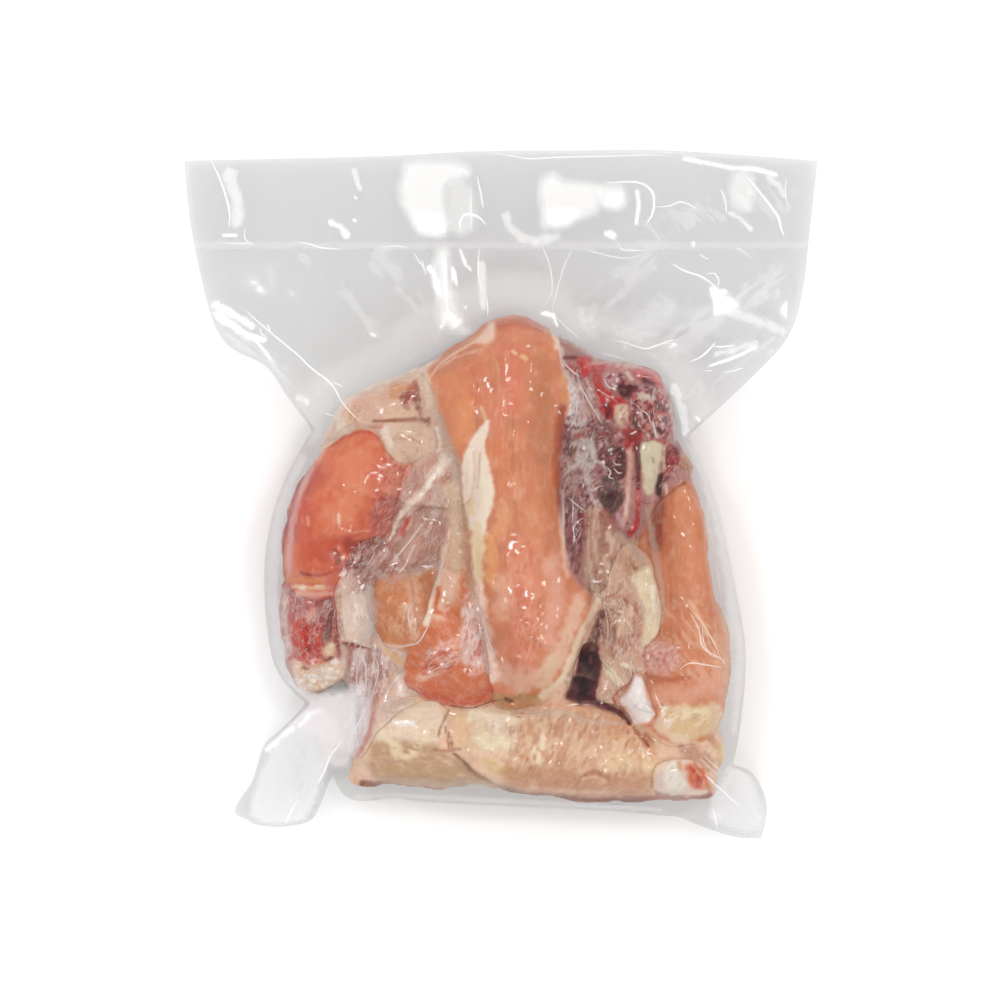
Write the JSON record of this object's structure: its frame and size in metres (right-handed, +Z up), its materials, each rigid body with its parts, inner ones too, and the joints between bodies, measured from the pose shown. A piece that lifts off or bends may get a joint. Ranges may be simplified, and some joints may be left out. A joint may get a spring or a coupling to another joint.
{
  "type": "vacuum pack of raw bone-in chicken breasts",
  "caption": "Clear sealed vacuum bag drawn tight over raw skin-on and bone-in chicken breasts, lying flat with its sealed mouth at one end and two corner tails at the other.",
  "frame": {"origin": "on the table, under the middle of the pack's box", "axes": "+Z up, +Y towards the bag's sealed mouth, +X to the right seen from above"},
  "size_m": [0.25, 0.2714, 0.0628],
  "materials": {
    "chicken_in_film": "moist raw meat under tight clear film",
    "film": "clear, slightly milky, high gloss",
    "breast_muscle": "wet, orange pink, fine grained",
    "skin_and_fat": "wet, cream to yellow, dimpled",
    "ribs_and_blood": "wet, dark red with white membranes",
    "cartilage": "smooth, white"
  },
  "bodies": {
    "root": {"sealed_pack": "chicken_in_film"}
  },
  "joints": []
}
